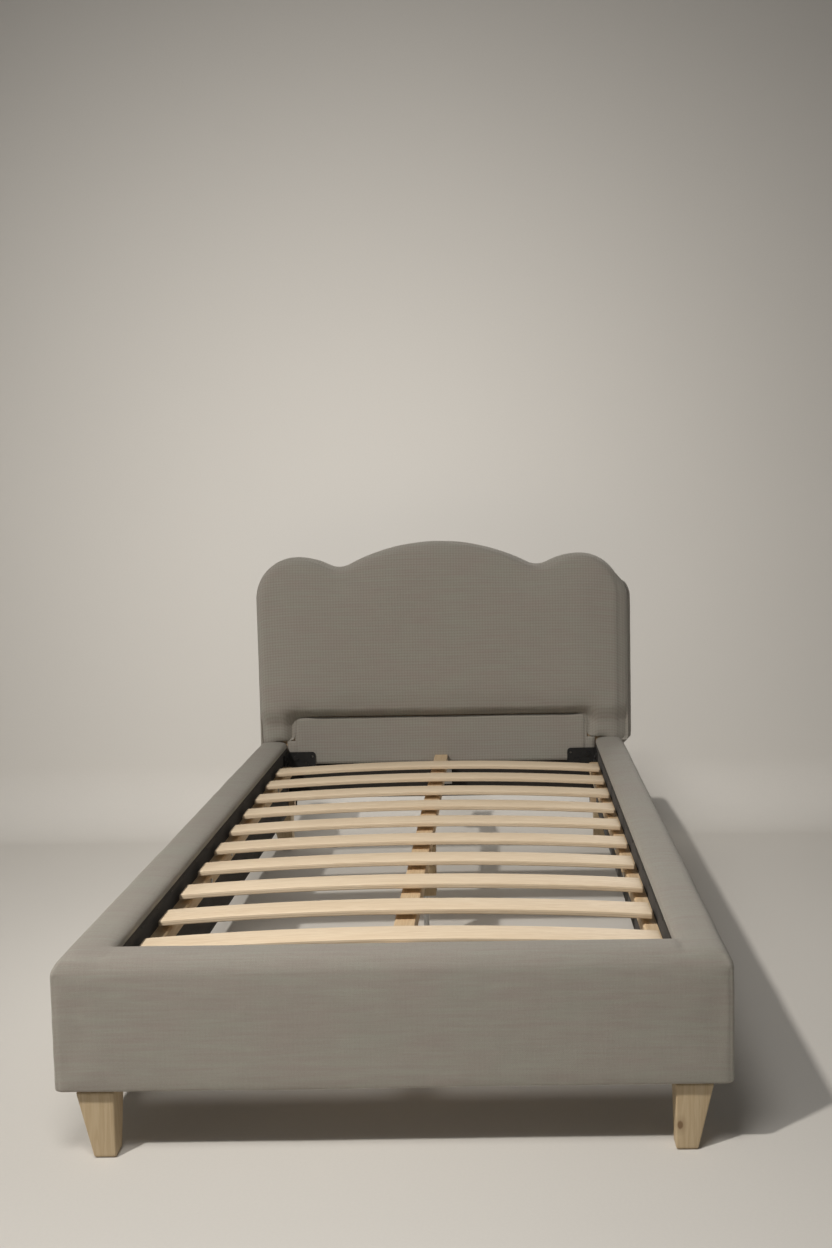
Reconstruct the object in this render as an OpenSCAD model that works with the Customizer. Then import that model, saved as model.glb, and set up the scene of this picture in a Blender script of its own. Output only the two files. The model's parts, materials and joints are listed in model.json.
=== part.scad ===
// Upholstered toddler bed: padded box rails, scalloped padded headboard and a
// deck of ten bowed slats that lift out.
// Millimetres. X runs across the bed, +Y to the headboard, +Z up.
// The origin is on the floor under the middle of the bed.

/* [Mattress space] */
// Width of the mattress that the bed takes
mattress_w = 700; // [680:5:720]
// Length of the mattress that the bed takes
mattress_l = 1400; // [1390:5:1440]
// Spare room across and along the mattress
mattress_gap = 15; // [10:1:20]

/* [Rails] */
// Thickness of a padded side rail
rail_t = 67.5; // [64:0.5:74]
// Thickness of the padded footboard
foot_t = 66; // [62:1:74]
// Height of the padded rails and footboard
rail_h = 170; // [164:2:176]
// Thickness of foam and cloth on the rails
pad_t = 14; // [11:1:15]
// Rounding of the outer edges of the padding
edge_r = 20; // [12:1:24]
// Rounding of the edge of the padding beside the mattress
inner_edge_r = 11; // [8:1:13]

/* [Headboard] */
// Height of the headboard's middle lobe above the floor
bed_h = 718; // [700:2:740]
// Height of the two side lobes above the floor
side_lobe_z = 686; // [680:1:692]
// Width of the headboard
head_w = 844; // [838:2:850]
// Thickness of the headboard
head_t = 75; // [72:1:85]
// How far the front pad stands ahead of the lower panel
pad_step = 25; // [20:1:28]
// Radius of the middle lobe
middle_lobe_r = 440; // [410:5:470]
// Radius of a side lobe on its inner side
side_lobe_r = 160; // [140:5:200]
// Radius of the hollow between two lobes
hollow_r = 50; // [35:5:60]
// Height of the recess line, where the front pad ends above the lower panel
recess_z = 316; // [306:2:330]

/* [Slats] */
// Number of slats
slat_count = 10; // [10:1:10]
// Width of a slat
slat_w = 55; // [50:1:60]
// Thickness of a slat
slat_thick = 8; // [7:0.5:9]
// Length of a slat from end to end
slat_l = 700; // [690:1:702]
// Rise of the middle of a slat above its ends
slat_rise = 12; // [8:1:15]
// Distance from one slat to the next
slat_pitch = 129.5; // [126:0.5:130]
// Gap between the footboard and the first slat
first_gap = 59.5; // [50:0.5:62]

/* [Legs] */
// Height of the legs, and so of the underside of the bed
leg_h = 88; // [80:1:100]
// Side of a leg at its top
leg_top = 48; // [44:1:50]
// Side of a leg at its foot
leg_foot = 28; // [24:1:32]
// Distance of a leg from the side of the bed
leg_inset_x = 25; // [20:1:30]
// Distance of a leg from the end of the bed
leg_inset_y = 10; // [8:1:12]

/* [Hidden] */
$fn = 48;

// Colours
linen = [0.50, 0.48, 0.44];
dark_cloth = [0.13, 0.12, 0.11];
pine = [0.80, 0.70, 0.54];
plywood = [0.72, 0.60, 0.44];
black_steel = [0.06, 0.06, 0.06];
bright_steel = [0.62, 0.62, 0.62];
black_plastic = [0.08, 0.08, 0.08];

// Left to right
inner_x = (mattress_w + mattress_gap) / 2;
outer_x = inner_x + rail_t;

// Foot to head: the overall length is centred on the origin
opening_l = mattress_l + mattress_gap;
bed_l = foot_t + opening_l + head_t;
foot_y = -bed_l / 2;
deck_y = foot_y + foot_t;
pad_y = deck_y + opening_l;
panel_y = pad_y + pad_step;
panel_t = 8;
board_y = panel_y + panel_t;
board_t = 18;
strut_y = board_y + board_t;
cover_t = 2;
head_y = bed_l / 2;

// Floor to top
rail_top = leg_h + rail_h;
wrap_t = 3;
core_z = leg_h + wrap_t;
core_top = rail_top - pad_t;
lining_t = 2;

// Timber inside the rails
inner_board_t = 15;
outer_board_t = 9;
batten_h = 25;
upright_w = 25;
upright_count = 5;

// Deck
ledger_t = 20;
ledger_h = 20;
ledger_top = leg_h + 124;
fit_gap = 0.3;
slat_seat = ledger_top + fit_gap;
slat_r = (pow(slat_l / 2, 2) + pow(slat_rise, 2)) / (2 * slat_rise);
slat_steps = 24;
centre_rail_w = 30;
centre_rail_h = 25;
centre_rail_top = slat_seat + slat_rise - fit_gap;
centre_rail_z = centre_rail_top - centre_rail_h;

// Headboard
band_t = 10;
band_z = leg_h;
board_z = leg_h + 37;
foot_part_x = 345;
ear_x = 336;
ear_z = rail_top + 2.5;
ear_r = 10;
side_r = head_w / 2 - 325;
side_peak_x = head_w / 2 - side_r;

// Corner brackets and their bolts
bracket_t = 3;
bracket_h = 40;
bracket_top = ledger_top + 23;
panel_wing = 66;
rail_wing = 55;
bracket_r = 8;
bolt_hole_r = 3.3;
bolt_r = 3;
bolt_head_r = 5.5;
bolt_head_h = 3.3;
bolt_l = 18;
open_hole_r = 2.75;

// Screws in the ledgers
screw_count = 7;
screw_r = 2;
screw_head_r = 4;
screw_l = 30;

// Centre leg: a block, a levelling screw and its pad
block_w = 38;
block_z = leg_h + 22;
level_screw_r = 5;
level_bore_h = 50;
level_travel = 12;
level_pad_r = 20;
level_pad_h = 10;

// Legs
plate_t = 2;
plate_w = 40;
glide_h = 4;
glide_r = 10;
leg_top_z = leg_h - plate_t;
hanger_r = 4;

// ---- helpers ----

// Box between two opposite corners
module block(low, high) {
    translate(low) cube(high - low);
}

// The same shape on the left (-1) or the right (1) of the bed
module on_side(side) {
    if (side < 0) mirror([1, 0, 0]) children();
    else children();
}

// What a rounding of radius r takes off the corner at the origin
module corner_waste(r) {
    difference() {
        translate([-1, -1]) square(r + 1);
        translate([r, r]) circle(r);
    }
}

// Rectangle from the origin: two rounded top corners, one small bottom one
module pad_outline(w, h, near_r, far_r) {
    low_r = 8;
    difference() {
        square([w, h]);
        translate([0, h]) mirror([0, 1]) corner_waste(near_r);
        translate([w, h]) mirror([1, 0]) mirror([0, 1]) corner_waste(far_r);
        translate([w, 0]) mirror([1, 0]) corner_waste(low_r);
    }
}

// Turns an outline drawn in X and Z into a bar that runs along +Y
module along_y(length) {
    translate([0, length, 0]) rotate([90, 0, 0]) linear_extrude(length) children();
}

// Round bar from a point along an axis: 0 is X, 1 is Y and 2 is Z
module round_bar(start, axis, length, r) {
    turn = axis == 0 ? [0, 90, 0] : axis == 1 ? [-90, 0, 0] : [0, 0, 0];
    translate(start) rotate(turn) cylinder(h = length, r = r);
}

// ---- padded rails ----

// Foam and cloth of a side rail: over the top, down the outside and under
module rail_pad(side) {
    length = board_y - deck_y;
    color(linen) on_side(side) translate([inner_x, deck_y, leg_h]) along_y(length)
        difference() {
            pad_outline(rail_t, rail_h, inner_edge_r, edge_r);
            translate([-1, wrap_t]) square([rail_t - pad_t + 1, core_top - core_z]);
            translate([-1, -1]) square([inner_board_t + lining_t + 1, wrap_t + 2]);
        }
}

module rail_lining(side) {
    color(dark_cloth) on_side(side)
        block([inner_x, deck_y, core_z], [inner_x + lining_t, board_y, core_top]);
}

module rail_inner_board(side) {
    near = inner_x + lining_t;
    color(plywood) on_side(side)
        block([near, deck_y, core_z], [near + inner_board_t, board_y, core_top]);
}

module rail_outer_board(side) {
    far = outer_x - pad_t;
    color(plywood) on_side(side)
        block([far - outer_board_t, deck_y, core_z], [far, board_y, core_top]);
}

// Long battens at the bottom and top of a rail, with uprights between them
module rail_battens(side) {
    near = inner_x + lining_t + inner_board_t;
    far = outer_x - pad_t - outer_board_t;
    step = (board_y - deck_y - upright_w) / (upright_count - 1);
    color(pine) on_side(side) {
        block([near, deck_y, core_z], [far, board_y, core_z + batten_h]);
        block([near, deck_y, core_top - batten_h], [far, board_y, core_top]);
        for (i = [0 : upright_count - 1]) {
            y = deck_y + i * step;
            block([near, y, core_z + batten_h], [far, y + upright_w, core_top - batten_h]);
        }
    }
}

// Foam and cloth of the footboard, closed round both ends
module footboard_pad() {
    core_x = outer_x - pad_t;
    color(linen) difference() {
        intersection() {
            translate([-outer_x, deck_y, leg_h]) rotate([90, 0, 90])
                linear_extrude(2 * outer_x)
                    mirror([1, 0]) pad_outline(foot_t, rail_h, inner_edge_r, edge_r);
            translate([0, 0, leg_h - 1]) linear_extrude(rail_h + 2) difference() {
                translate([-outer_x, foot_y]) square([2 * outer_x, foot_t]);
                translate([-outer_x, foot_y]) corner_waste(edge_r);
                translate([outer_x, foot_y]) mirror([1, 0]) corner_waste(edge_r);
            }
        }
        block([-core_x, foot_y + pad_t, core_z], [core_x, deck_y + 1, core_top]);
        block([-core_x, deck_y - inner_board_t - lining_t, leg_h - 1],
              [core_x, deck_y + 1, core_z + 1]);
    }
}

module footboard_lining() {
    color(dark_cloth)
        block([-inner_x, deck_y - lining_t, core_z], [inner_x, deck_y, core_top]);
}

module footboard_inner_board() {
    core_x = outer_x - pad_t;
    far = deck_y - lining_t;
    color(plywood) block([-core_x, far - inner_board_t, core_z], [core_x, far, core_top]);
}

module footboard_outer_board() {
    core_x = outer_x - pad_t;
    near = foot_y + pad_t;
    color(plywood) block([-core_x, near, core_z], [core_x, near + outer_board_t, core_top]);
}

module footboard_battens() {
    core_x = outer_x - pad_t;
    near = foot_y + pad_t + outer_board_t;
    far = deck_y - lining_t - inner_board_t;
    step = (2 * core_x - upright_w) / (upright_count - 1);
    color(pine) {
        block([-core_x, near, core_z], [core_x, far, core_z + batten_h]);
        block([-core_x, near, core_top - batten_h], [core_x, far, core_top]);
        for (i = [0 : upright_count - 1]) {
            x = -core_x + i * step;
            block([x, near, core_z + batten_h], [x + upright_w, far, core_top - batten_h]);
        }
    }
}

// ---- headboard ----

// Points on an arc from one angle to another, in n steps, with both ends
function arc(centre, r, from, to, n) =
    [for (i = [0 : n]) let (a = from + (to - from) * i / n) centre + r * [cos(a), sin(a)]];

// The same arc without its last point, which the next arc starts with
function open_arc(centre, r, from, to, n) =
    [for (i = [0 : n - 1]) let (a = from + (to - from) * i / n) centre + r * [cos(a), sin(a)]];

// Centre of the circle that touches two others on their upper side
function hollow_centre(c1, r1, c2, r2) =
    let (span = norm(c2 - c1), along = (c2 - c1) / span)
    let (reach = (r1 * r1 - r2 * r2 + span * span) / (2 * span))
    c1 + along * reach + [-along[1], along[0]] * sqrt(r1 * r1 - reach * reach);

function angle_of(v) = atan2(v[1], v[0]);

// Right half of the scalloped edge, drawn d inside the outer outline, from
// the side at height low up to the top of the middle lobe
function half_outline(d, low) =
    let (middle = [0, bed_h - middle_lobe_r])
    let (flank = [side_peak_x, side_lobe_z - side_lobe_r])
    let (hollow = hollow_centre(middle, middle_lobe_r + hollow_r, flank, side_lobe_r + hollow_r))
    let (to_flank = angle_of(hollow - flank), to_middle = angle_of(hollow - middle))
    concat(
        [[head_w / 2 - d, low]],
        open_arc([side_peak_x, side_lobe_z - side_r], side_r - d, 0, 90, 12),
        open_arc(flank, side_lobe_r - d, 90, to_flank, 6),
        open_arc(hollow, hollow_r + d, to_flank - 180, to_middle - 180, 6),
        arc(middle, middle_lobe_r - d, to_middle, 90, 12)
    );

// Whole outline down to height low
function scallop(d, low) =
    let (half = half_outline(d, low), n = len(half))
    concat(half, [for (i = [n - 2 : -1 : 0]) [-half[i][0], half[i][1]]]);

// Flat shape in X and Z made t thick, from the plane y towards the head
module slab(y, t) {
    translate([0, y, 0]) along_y(t) children();
}

// Front pad: the scallop with a window over the lower panel
module headboard_front_pad() {
    color(linen) slab(pad_y, board_y - pad_y) difference() {
        polygon(scallop(0, ear_z));
        polygon([
            [-ear_x, ear_z - 1], [-ear_x, recess_z - ear_r], [-ear_x + ear_r, recess_z],
            [ear_x - ear_r, recess_z], [ear_x, recess_z - ear_r], [ear_x, ear_z - 1]
        ]);
    }
}

// Flat padded panel below the front pad
module headboard_lower_panel() {
    low = ledger_top + 8;
    color(linen) slab(panel_y, panel_t) union() {
        translate([-inner_x + 0.5, low]) square([2 * inner_x - 1, ear_z - low]);
        translate([-ear_x + 0.5, low]) square([2 * ear_x - 1, recess_z - ear_r - low]);
        translate([-ear_x + ear_r, low]) square([2 * (ear_x - ear_r), recess_z - low - 0.5]);
    }
}

// Plywood board that carries the pads and joins the rails
module headboard_board() {
    color(plywood) slab(board_y, board_t) difference() {
        polygon(scallop(band_t, leg_h));
        translate([-foot_part_x, leg_h - 1]) square([2 * foot_part_x, board_z - leg_h + 1]);
    }
}

// Cloth band that closes the edge of the headboard, up one side, over the
// scallop and down the other
module headboard_side_band() {
    color(linen) slab(board_y, head_y - cover_t - board_y) difference() {
        polygon(scallop(0, band_z));
        polygon(scallop(band_t, band_z - 1));
    }
}

// Upright behind the board, over a rear leg
module headboard_strut(side) {
    near = outer_x - leg_inset_x - leg_top;
    color(pine) on_side(side)
        block([near, strut_y, leg_h], [near + leg_top, head_y - cover_t, side_lobe_z - 60]);
}

module headboard_lining() {
    low = board_z;
    color(dark_cloth)
        block([-inner_x + 0.5, board_y - lining_t, low], [inner_x - 0.5, board_y, ledger_top + 7.5]);
}

module headboard_back_cover() {
    color(dark_cloth) slab(head_y - cover_t, cover_t) difference() {
        polygon(scallop(2, leg_h));
        translate([-foot_part_x, leg_h - 1]) square([2 * foot_part_x, board_z - leg_h + 1]);
    }
}

// ---- deck ----

// Strip along a rail that the slats lie on, between the corner brackets
module ledger(side) {
    near = deck_y + rail_wing + 3;
    length = panel_y - rail_wing - 5 - near;
    color(pine) on_side(side) translate([inner_x - ledger_t, near, ledger_top - ledger_h])
        along_y(length) difference() {
            square([ledger_t, ledger_h]);
            translate([0, ledger_h]) mirror([0, 1]) corner_waste(4);
        }
}

module ledger_screws() {
    first = deck_y + first_gap + slat_w + 25;
    step = (slat_count - 2) * slat_pitch / (screw_count - 1);
    color(bright_steel) for (side = [-1, 1], i = [0 : screw_count - 1])
        on_side(side) {
            spot = [inner_x - ledger_t, first + i * step, ledger_top - ledger_h / 2];
            round_bar(spot, 0, screw_l, screw_r);
            round_bar(spot - [2, 0, 0], 0, 2.5, screw_head_r);
        }
}

// Bowed slat, number 1 beside the footboard
module slat(number) {
    near = deck_y + first_gap + (number - 1) * slat_pitch;
    half_angle = asin(slat_l / 2 / slat_r);
    low_centre = [0, slat_seat + slat_rise - slat_r];
    upper = arc(low_centre, slat_r + slat_thick, 90 - half_angle, 90 + half_angle, slat_steps);
    lower = arc(low_centre, slat_r, 90 + half_angle, 90 - half_angle, slat_steps);
    color(pine) slab(near, slat_w) polygon(concat(upper, lower));
}

// Rail down the middle, just under the slats
module centre_rail() {
    color(pine) block([-centre_rail_w / 2, deck_y + bracket_t, centre_rail_z],
                      [centre_rail_w / 2, panel_y - 0.5, centre_rail_top]);
}

// Angle bracket under one end of the centre rail; way is 1 when the deck is
// on its +Y side and -1 when it is on its -Y side
module centre_rail_bracket(wall, way) {
    flange = 40;
    drop = 45;
    half = centre_rail_w / 2 + 8;
    color(black_steel) translate([0, wall, 0]) mirror([0, way < 0 ? 1 : 0, 0])
        difference() {
            union() {
                block([-half, 0, centre_rail_z - drop], [half, bracket_t, centre_rail_top - 4]);
                block([-half, 0, centre_rail_z - bracket_t], [half, flange, centre_rail_z]);
            }
            for (x = [-1, 1])
                round_bar([x * 12, -1, centre_rail_z - 28], 1, bracket_t + 2, bolt_hole_r);
            round_bar([0, 26, centre_rail_z - 4], 2, 5, bolt_hole_r);
        }
}

// Block under the middle of the centre rail, bored for the levelling screw
module centre_leg_block() {
    color(pine) difference() {
        block([-block_w / 2, -block_w / 2, block_z], [block_w / 2, block_w / 2, centre_rail_z]);
        round_bar([0, 0, block_z - 1], 2, level_bore_h + level_travel + 3, level_screw_r + fit_gap);
    }
}

module centre_leg_screw() {
    color(bright_steel)
        round_bar([0, 0, level_pad_h], 2, block_z + level_bore_h - level_pad_h, level_screw_r);
}

module centre_leg_pad() {
    color(black_plastic) {
        cylinder(h = level_pad_h / 2, r = level_pad_r);
        cylinder(h = level_pad_h, r1 = level_pad_r - 4, r2 = level_screw_r + 4);
    }
}

// ---- corner brackets ----

// L of steel in a corner: one wing against an end panel, one on the rail;
// its corner is at the origin, the wings run along -X and along -Y
module corner_bracket() {
    color(black_steel) difference() {
        union() {
            rotate([90, 0, 0]) linear_extrude(bracket_t) difference() {
                translate([-panel_wing, 0]) square([panel_wing, bracket_h]);
                translate([-panel_wing, bracket_h]) mirror([0, 1]) corner_waste(bracket_r);
                translate([-panel_wing, 0]) corner_waste(bracket_r);
            }
            rotate([90, 0, -90]) linear_extrude(bracket_t) difference() {
                square([rail_wing, bracket_h]);
                translate([rail_wing, bracket_h]) mirror([1, 0]) mirror([0, 1])
                    corner_waste(bracket_r);
                translate([rail_wing, 0]) mirror([1, 0]) corner_waste(bracket_r);
            }
        }
        for (spot = panel_bolts())
            round_bar([-spot[0], -bracket_t - 1, spot[1]], 1, bracket_t + 2, bolt_hole_r);
        for (spot = rail_bolts())
            round_bar([-bracket_t - 1, -spot[0], spot[1]], 0, bracket_t + 2, bolt_hole_r);
        round_bar([-panel_wing + 7.5, -bracket_t - 1, bracket_h - 10], 1, bracket_t + 2, open_hole_r);
    }
}

// Bolt spots on each wing: distance from the corner, height on the bracket
function panel_bolts() = [[20, 26], [44, 11]];
function rail_bolts() = [[20, 12], [42, 26]];

// Puts a bracket or its bolts in one corner of the mattress space
module in_corner(side, at_head) {
    wall = at_head ? panel_y : deck_y;
    on_side(side) translate([inner_x, wall, bracket_top - bracket_h])
        mirror([0, at_head ? 0 : 1, 0]) children();
}

// Round-headed bolts of one bracket
module corner_bolts() {
    for (spot = panel_bolts()) {
        round_bar([-spot[0], -bracket_t - bolt_head_h, spot[1]], 1, bolt_head_h, bolt_head_r);
        round_bar([-spot[0], -bracket_t - 1, spot[1]], 1, bolt_l, bolt_r);
    }
    for (spot = rail_bolts()) {
        round_bar([-bracket_t - bolt_head_h, -spot[0], spot[1]], 0, bolt_head_h, bolt_head_r);
        round_bar([-bracket_t - 1, -spot[0], spot[1]], 0, bolt_l, bolt_r);
    }
}

module bracket_bolts() {
    color(black_steel) {
        for (side = [-1, 1], at_head = [false, true]) in_corner(side, at_head) corner_bolts();
        for (x = [-12, 12]) {
            z = centre_rail_z - 28;
            round_bar([x, deck_y - 12, z], 1, 12 + bracket_t + 1, bolt_r);
            round_bar([x, deck_y + bracket_t, z], 1, bolt_head_h, bolt_head_r);
            wall = board_y - lining_t - bracket_t;
            round_bar([x, wall - 1, z], 1, 12 + bracket_t + 1, bolt_r);
            round_bar([x, wall - bolt_head_h, z], 1, bolt_head_h, bolt_head_r);
        }
        for (y = [deck_y + 26, board_y - lining_t - 26]) {
            under = centre_rail_z - bracket_t;
            round_bar([0, y, under - bolt_head_h], 2, bolt_head_h, bolt_head_r);
            round_bar([0, y, under - 1], 2, bracket_t + bolt_l, bolt_r);
        }
    }
}

// ---- legs ----

// Middle of the top of the leg at a corner of the bed
function leg_spot(side, end) = [
    side * (outer_x - leg_inset_x - leg_top / 2),
    end * (bed_l / 2 - leg_inset_y - leg_top / 2)
];

// Middle of its foot: the taper is on the face beside the bed's side and on
// the one under the bed, and the other two faces are plumb
function leg_foot_spot(side, end) =
    leg_spot(side, end) + [-side, end] * (leg_top - leg_foot) / 2;

module leg(side, end) {
    top = leg_spot(side, end);
    foot = leg_foot_spot(side, end);
    skin = 0.1;
    color(pine) hull() {
        translate([top[0] - leg_top / 2, top[1] - leg_top / 2, leg_top_z - skin])
            cube([leg_top, leg_top, skin]);
        translate([foot[0] - leg_foot / 2, foot[1] - leg_foot / 2, glide_h])
            cube([leg_foot, leg_foot, skin]);
    }
}

module leg_plates() {
    color(bright_steel) for (side = [-1, 1], end = [-1, 1]) {
        spot = leg_spot(side, end);
        difference() {
            translate([spot[0] - plate_w / 2, spot[1] - plate_w / 2, leg_top_z])
                cube([plate_w, plate_w, plate_t]);
            round_bar([spot[0], spot[1], leg_top_z - 1], 2, plate_t + 2, hanger_r + 0.2);
        }
    }
}

module leg_bolts() {
    color(bright_steel) for (side = [-1, 1], end = [-1, 1]) {
        spot = leg_spot(side, end);
        round_bar([spot[0], spot[1], leg_top_z - 30], 2, 30 + plate_t + 22, hanger_r);
    }
}

module leg_glides() {
    color(black_plastic) for (side = [-1, 1], end = [-1, 1]) {
        spot = leg_foot_spot(side, end);
        round_bar([spot[0], spot[1], 0], 2, glide_h, glide_r);
    }
}

// ---- assembly ----

footboard_outer_board();
footboard_inner_board();
footboard_battens();
footboard_pad();
footboard_lining();
rail_outer_board(-1);  // left_rail_outer_board
rail_inner_board(-1);  // left_rail_inner_board
rail_battens(-1);  // left_rail_battens
rail_pad(-1);  // left_rail_pad
rail_lining(-1);  // left_rail_lining
ledger(-1);  // left_ledger
rail_outer_board(1);  // right_rail_outer_board
rail_inner_board(1);  // right_rail_inner_board
rail_battens(1);  // right_rail_battens
rail_pad(1);  // right_rail_pad
rail_lining(1);  // right_rail_lining
ledger(1);  // right_ledger
ledger_screws();
headboard_board();
headboard_strut(-1);  // headboard_left_strut
headboard_strut(1);  // headboard_right_strut
headboard_front_pad();
headboard_side_band();
headboard_lower_panel();
headboard_lining();
headboard_back_cover();
slat(1);  // slat_01
slat(2);  // slat_02
slat(3);  // slat_03
slat(4);  // slat_04
slat(5);  // slat_05
slat(6);  // slat_06
slat(7);  // slat_07
slat(8);  // slat_08
slat(9);  // slat_09
slat(10);  // slat_10
centre_rail();
centre_rail_bracket(board_y - lining_t, -1);  // centre_rail_head_bracket
centre_rail_bracket(deck_y, 1);  // centre_rail_foot_bracket
centre_leg_block();
centre_leg_screw();
centre_leg_pad();
in_corner(-1, true) corner_bracket();  // head_left_bracket
in_corner(1, true) corner_bracket();  // head_right_bracket
in_corner(-1, false) corner_bracket();  // foot_left_bracket
in_corner(1, false) corner_bracket();  // foot_right_bracket
bracket_bolts();
leg(-1, -1);  // foot_left_leg
leg(1, -1);  // foot_right_leg
leg(-1, 1);  // head_left_leg
leg(1, 1);  // head_right_leg
leg_plates();
leg_bolts();
leg_glides();
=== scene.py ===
"""Looks of the upholstered toddler bed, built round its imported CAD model.

Metres. X runs across the bed, +Y to the headboard, +Z up, with the floor at z = 0.
"""

import json
import math

import bmesh
import bpy
import numpy as np
from mathutils import Matrix, Vector

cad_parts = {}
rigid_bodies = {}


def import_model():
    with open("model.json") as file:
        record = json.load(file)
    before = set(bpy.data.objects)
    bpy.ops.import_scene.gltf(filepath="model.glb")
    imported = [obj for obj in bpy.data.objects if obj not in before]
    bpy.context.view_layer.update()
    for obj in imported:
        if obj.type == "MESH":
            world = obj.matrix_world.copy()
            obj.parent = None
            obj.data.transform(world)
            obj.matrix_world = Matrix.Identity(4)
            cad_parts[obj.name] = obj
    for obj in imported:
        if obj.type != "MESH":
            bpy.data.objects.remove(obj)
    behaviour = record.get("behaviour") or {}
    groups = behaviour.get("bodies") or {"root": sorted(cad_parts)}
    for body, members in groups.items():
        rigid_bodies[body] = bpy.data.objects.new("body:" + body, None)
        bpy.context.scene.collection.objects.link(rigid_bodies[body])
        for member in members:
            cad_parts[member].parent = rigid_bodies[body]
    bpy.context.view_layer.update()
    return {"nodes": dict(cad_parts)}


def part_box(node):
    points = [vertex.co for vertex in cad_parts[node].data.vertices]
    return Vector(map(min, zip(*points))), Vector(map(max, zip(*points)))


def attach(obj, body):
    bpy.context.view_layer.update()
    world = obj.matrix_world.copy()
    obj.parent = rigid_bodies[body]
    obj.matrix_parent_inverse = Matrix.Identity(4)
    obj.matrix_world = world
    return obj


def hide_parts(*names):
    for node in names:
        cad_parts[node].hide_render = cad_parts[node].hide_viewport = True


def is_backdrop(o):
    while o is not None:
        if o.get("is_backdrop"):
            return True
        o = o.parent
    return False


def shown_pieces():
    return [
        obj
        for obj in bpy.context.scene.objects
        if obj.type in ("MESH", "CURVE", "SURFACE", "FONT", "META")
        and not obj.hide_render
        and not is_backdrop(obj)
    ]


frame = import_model()
scene = bpy.context.scene
MM = 0.001
BODY = "bed_frame"

# ---- sizes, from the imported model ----

rail_low, rail_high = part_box("right_rail_pad")
foot_low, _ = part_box("footboard_pad")
panel_low, panel_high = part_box("headboard_lower_panel")
pad_low, pad_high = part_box("headboard_front_pad")
band_low, band_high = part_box("headboard_side_band")
back_low, back_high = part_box("headboard_back_cover")

INNER_X, OUTER_X = rail_low.x, rail_high.x
DECK_Y, FOOT_Y = rail_low.y, foot_low.y
BOARD_Y = rail_high.y
BED_Z, RAIL_TOP = rail_low.z, rail_high.z
HEAD_TOP = pad_high.z
HALF_HEAD = pad_high.x

# The scalloped edge: middle lobe, flank lobe, rounded shoulder and hollow
MIDDLE_R, FLANK_R, SHOULDER_R, HOLLOW_R = 0.440, 0.160, 0.097, 0.050
FLANK_X = HALF_HEAD - SHOULDER_R
FLANK_TOP = 0.686
RECESS_Z = 0.316
EAR_X = 0.336


# ---- mesh helpers ----

def new_piece(name, vertices, faces, material, body=BODY):
    """A smooth mesh piece that rides on a body."""
    mesh = bpy.data.meshes.new(name)
    mesh.from_pydata([tuple(v) for v in vertices], [], faces)
    mesh.update()
    piece = bpy.data.objects.new(name, mesh)
    scene.collection.objects.link(piece)
    mesh.materials.append(material)
    mesh.shade_smooth()
    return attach(piece, body)


def skin(name, rings, material, body=BODY):
    """Closed skin over a row of rings with the same number of points."""
    count, size = len(rings), len(rings[0])
    faces = [
        (i * size + j, i * size + (j + 1) % size,
         (i + 1) * size + (j + 1) % size, (i + 1) * size + j)
        for i in range(count - 1) for j in range(size)
    ]
    faces.append(tuple(range(size))[::-1])
    faces.append(tuple((count - 1) * size + j for j in range(size)))
    piece = new_piece(name, np.concatenate(rings), faces, material, body)
    face_outward(piece)
    return piece


def face_outward(piece):
    work = bmesh.new()
    work.from_mesh(piece.data)
    bmesh.ops.recalc_face_normals(work, faces=work.faces)
    work.to_mesh(piece.data)
    work.free()


def points_of(piece):
    co = np.empty(len(piece.data.vertices) * 3)
    piece.data.vertices.foreach_get("co", co)
    return co.reshape(-1, 3)


def set_points(piece, co):
    piece.data.vertices.foreach_set("co", co.ravel())
    piece.data.update()


def settle(piece):
    """Applies the piece's modifiers."""
    graph = bpy.context.evaluated_depsgraph_get()
    made = bpy.data.meshes.new_from_object(piece.evaluated_get(graph))
    made.name = piece.name
    piece.modifiers.clear()
    piece.data = made
    made.shade_smooth()


def add_modifier(piece, kind, **settings):
    modifier = piece.modifiers.new(kind.title(), kind)
    for key, value in settings.items():
        setattr(modifier, key, value)
    return modifier


def swell(piece, pressure, cap, free, frames=20):
    """Fills a cushion by cloth simulation. cap is how far a point may move,
    and free, from 0 to 1, is each point's share of that."""
    rest, outward = points_of(piece), normals_of(piece)
    held = piece.vertex_groups.new(name="held")
    for index in np.flatnonzero(free < 0.02):
        held.add([int(index)], 1.0, "REPLACE")
    cloth = add_modifier(piece, "CLOTH")
    cloth.settings.quality = 6
    cloth.settings.mass = 0.25
    cloth.settings.tension_stiffness = 12
    cloth.settings.compression_stiffness = 12
    cloth.settings.bending_stiffness = 1.5
    cloth.settings.use_pressure = True
    cloth.settings.uniform_pressure_force = pressure
    cloth.settings.effector_weights.gravity = 0
    cloth.settings.vertex_group_mass = "held"
    cloth.point_cache.frame_end = frames
    for step in range(1, frames + 1):
        scene.frame_set(step)
    graph = bpy.context.evaluated_depsgraph_get()
    grown = points_of(piece.evaluated_get(graph))
    piece.modifiers.clear()
    piece.vertex_groups.clear()
    scene.frame_set(1)
    move = grown - rest
    length = np.linalg.norm(move, axis=1)
    limit = cap * free
    share = limit * np.tanh(length / np.maximum(limit, 1e-6))
    move *= (share / np.maximum(length, 1e-9))[:, None]
    inward = np.minimum((move * outward).sum(1), 0)
    set_points(piece, rest + move - outward * inward[:, None])


def waves(co, scales, seed):
    """Smooth unevenness from -1 to 1 at each point: a few crossed sines."""
    draw = np.random.default_rng(seed)
    total = np.zeros(len(co))
    for scale in scales:
        for _ in range(4):
            way = draw.normal(size=3)
            way /= np.linalg.norm(way)
            total += np.sin(co @ way * (2 * math.pi / scale) + draw.uniform(0, 6.28))
    return total / (2.5 * len(scales))


def normals_of(piece):
    out = np.empty(len(piece.data.vertices) * 3)
    piece.data.vertex_normals.foreach_get("vector", out)
    return out.reshape(-1, 3)


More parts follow.
